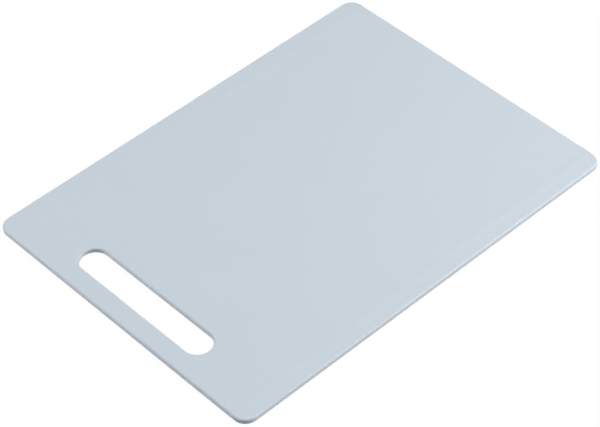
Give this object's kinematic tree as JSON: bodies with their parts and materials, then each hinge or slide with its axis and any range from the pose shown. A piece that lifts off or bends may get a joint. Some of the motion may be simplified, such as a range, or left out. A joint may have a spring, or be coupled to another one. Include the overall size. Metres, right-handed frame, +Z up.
{
  "type": "cutting mat",
  "caption": "Thin rectangular plastic cutting mat with rounded corners, rounded edges and a long hand slot near one short edge.",
  "frame": {"origin": "centre of the underside", "axes": "+X along the length, away from the hand slot; +Y across the width; +Z up, out of the cutting face"},
  "size_m": [0.34, 0.25, 0.0045],
  "materials": {
    "mat_plastic": "satin"
  },
  "bodies": {
    "root": {"cutting_mat": "mat_plastic"}
  },
  "joints": []
}
